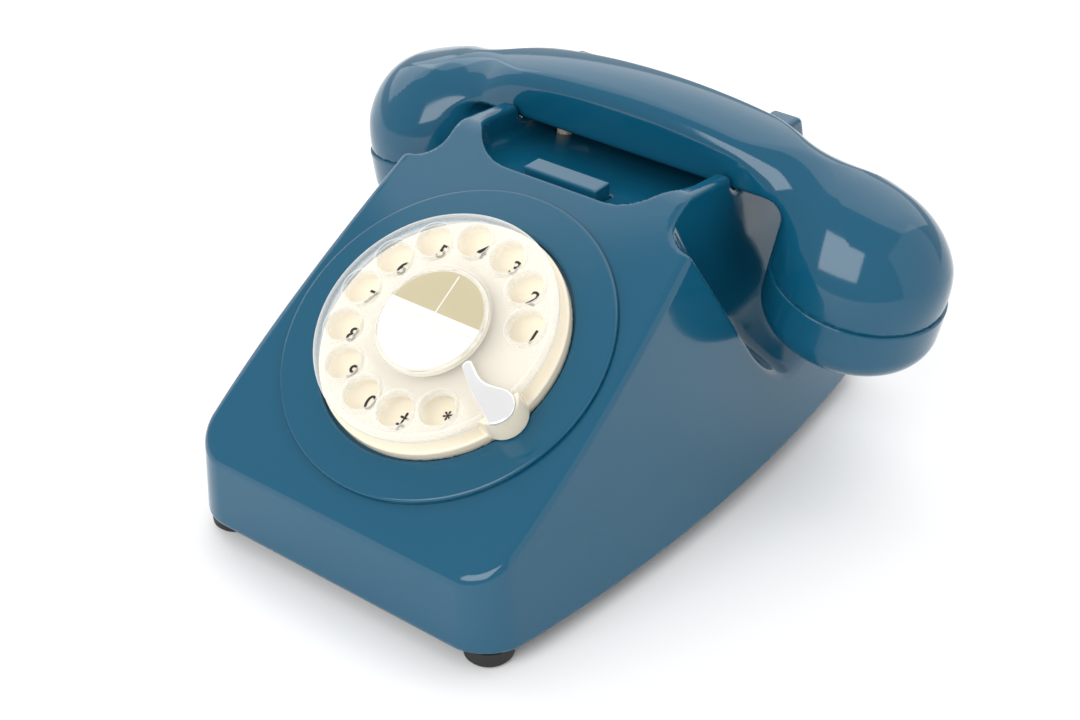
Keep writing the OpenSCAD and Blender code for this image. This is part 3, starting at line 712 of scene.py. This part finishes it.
BLUE = (0.004, 0.083, 0.153)
blue = material("petrol_blue_plastic", BLUE, (0.06, 0.12), vary=0.03, ior=1.5)
blue_dull = material("petrol_blue_surround", BLUE, (0.1, 0.17), vary=0.03, ior=1.5)
cream = material("cream_plastic", (0.86, 0.78, 0.62), (0.12, 0.22), vary=0.03)
ink = material("black_print", (0.015, 0.014, 0.013), (0.4, 0.5))
# The edge opacities paint the white edge reflection on the finger wheel and the label window
clear = clear_plastic("clear_acrylic", 0.16, 0.9)
glass = clear_plastic("clear_label_window", 0.03, 0.5)
white_card = material("white_card", (0.9, 0.9, 0.88), (0.5, 0.6), bump=0.05)
gold_card = material("gold_ink", (0.52, 0.44, 0.22), (0.35, 0.45), metallic=0.25)
chrome = material("polished_chrome", (0.9, 0.9, 0.9), (0.14, 0.22), metallic=0.6)
steel = material("zinc_plated_steel", (0.55, 0.56, 0.58), (0.25, 0.4), metallic=1.0, bump=0.05)
brass = material("satin_brass", (0.7, 0.5, 0.2), (0.2, 0.35), metallic=1.0, bump=0.05)
black = material("black_plastic", (0.02, 0.02, 0.022), (0.3, 0.45), bump=0.08)
ivory = material("ivory_plastic", (0.72, 0.66, 0.52), (0.25, 0.35))
white = material("white_plastic", (0.84, 0.79, 0.68), (0.15, 0.25))
brown = material("brown_phenolic", (0.12, 0.05, 0.02), (0.3, 0.45), vary=0.15)
green = material("green_board", (0.02, 0.14, 0.05), (0.25, 0.35), vary=0.1)
orange = material("orange_dip", (0.7, 0.22, 0.03), (0.2, 0.3))
wrap = material("red_coil_tape", (0.35, 0.04, 0.03), (0.35, 0.5), vary=0.12)
painted = material("black_painted_steel", (0.03, 0.03, 0.032), (0.35, 0.5), bump=0.2, grain=400)
iron = material(
    "grey_cast_iron", (0.14, 0.14, 0.145), (0.5, 0.65), metallic=0.7, bump=0.4, grain=500
)
rubber = material("black_rubber", (0.014, 0.014, 0.015), (0.6, 0.75), bump=0.25, grain=600)

SLOTS = {
    "blue_case": blue,
    "blue_handset": blue,
    "cream_plate": cream,
    "black_print": ink,
    "clear_wheel": clear,
    "card": white_card,
    "stop_metal": chrome,
    "plated_steel": steel,
    "brass_parts": brass,
    "black_plastic": black,
    "ivory_plastic": ivory,
    "white_plastic": white,
    "brown_phenolic": brown,
    "green_board": green,
    "orange_case": orange,
    "coil_wrap": wrap,
    "base_steel": painted,
    "iron_weight": iron,
    "foot_rubber": rubber,
}
for part in frame["record"]["subparts"]:
    data = frame["nodes"][part["node"]].data
    data.materials.clear()
    data.materials.append(SLOTS[part["material_slot"]])


def put(obj, mat, body, slot, *nodes):
    """Gives a piece its material and its body, and hides the CAD nodes that it stands for; slot is
    not used.
    """
    obj.data.materials.append(mat)
    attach(obj, body)
    if nodes:
        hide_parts(*nodes)


put(case, blue, "base", "blue_case", "case_shell")
put(recall, blue, "recall_button", "blue_case", "recall_bar")
put(surround, blue_dull, "base", "blue_case", "dial_surround")
put(plate, cream, "base", "cream_plate", "number_plate")
put(digits, ink, "base", "black_print", "dial_digits")
put(stop, chrome, "base", "stop_metal", "finger_stop", "stop_screw")
put(wheel, clear, "dial_rotor", "clear_wheel", "finger_wheel")
put(cover, glass, "dial_rotor", "clear_wheel", "label_cover")
put(card, white_card, "dial_rotor", "card", "label_card")
put(panel, gold_card, "dial_rotor", "card")
put(divider, white_card, "dial_rotor", "card")
put(thin_line, gold_card, "dial_rotor", "card")
put(handset, blue, "handset", "blue_handset", "handset_shell")
put(caps[0], blue, "handset", "blue_handset", "earpiece_cap")
put(caps[1], blue, "handset", "blue_handset", "mouthpiece_cap")

# ---------------------------------------------------------------- floor, lights and camera

FLOOR_HALF = 6
floor_corners = [(i * FLOOR_HALF, j * FLOOR_HALF, 0) for i, j in ((-1, -1), (1, -1), (1, 1), (-1, 1))]
floor_mesh = bpy.data.meshes.new("floor")
floor_mesh.from_pydata(floor_corners, [], [(0, 1, 2, 3)])
floor = bpy.data.objects.new("floor", floor_mesh)
bpy.context.scene.collection.objects.link(floor)
floor.data.materials.append(material("pale_floor", (0.93, 0.93, 0.93), (0.6, 0.7), vary=0.0))


def softbox(name, place, target, width, height, power):
    """Rectangular area light aimed at a target, sizes in metres and power in watts."""
    lamp = bpy.data.lights.new(name, "AREA")
    lamp.shape = "RECTANGLE"
    lamp.size = width
    lamp.size_y = height
    lamp.energy = power
    obj = bpy.data.objects.new(name, lamp)
    obj.location = place
    obj.rotation_euler = (Vector(target) - Vector(place)).to_track_quat("-Z", "Y").to_euler()
    bpy.context.scene.collection.objects.link(obj)


softbox("top_light", (-0.5, 1.15, 1.5), (0, 0, 0), 3.4, 2.6, 30)
softbox("front_light", (0.05, -1.35, 1.0), (0, 0, 0.06), 1.35, 0.9, 16)
softbox("left_light", (-1.7, 0.2, 0.9), (0, 0, 0.05), 1.2, 1.2, 5)
softbox("right_light", (1.7, 0.6, 0.9), (0, 0, 0.05), 2.8, 2.0, 9)

world = bpy.data.worlds.new("studio")
world.use_nodes = True
world.node_tree.nodes["Background"].inputs["Color"].default_value = (1, 1, 1, 1)
world.node_tree.nodes["Background"].inputs["Strength"].default_value = 0.6
bpy.context.scene.world = world
bpy.context.scene.view_settings.view_transform = "Standard"

lens = bpy.data.cameras.new("camera")
lens.lens = 62.58
camera = bpy.data.objects.new("camera", lens)
camera.location = (0.3041, -0.4006, 0.361)
camera.rotation_euler = Vector((-0.508, 0.664, -0.5486)).to_track_quat("-Z", "Y").to_euler()
bpy.context.scene.collection.objects.link(camera)
bpy.context.scene.camera = camera

bpy.context.view_layer.update()
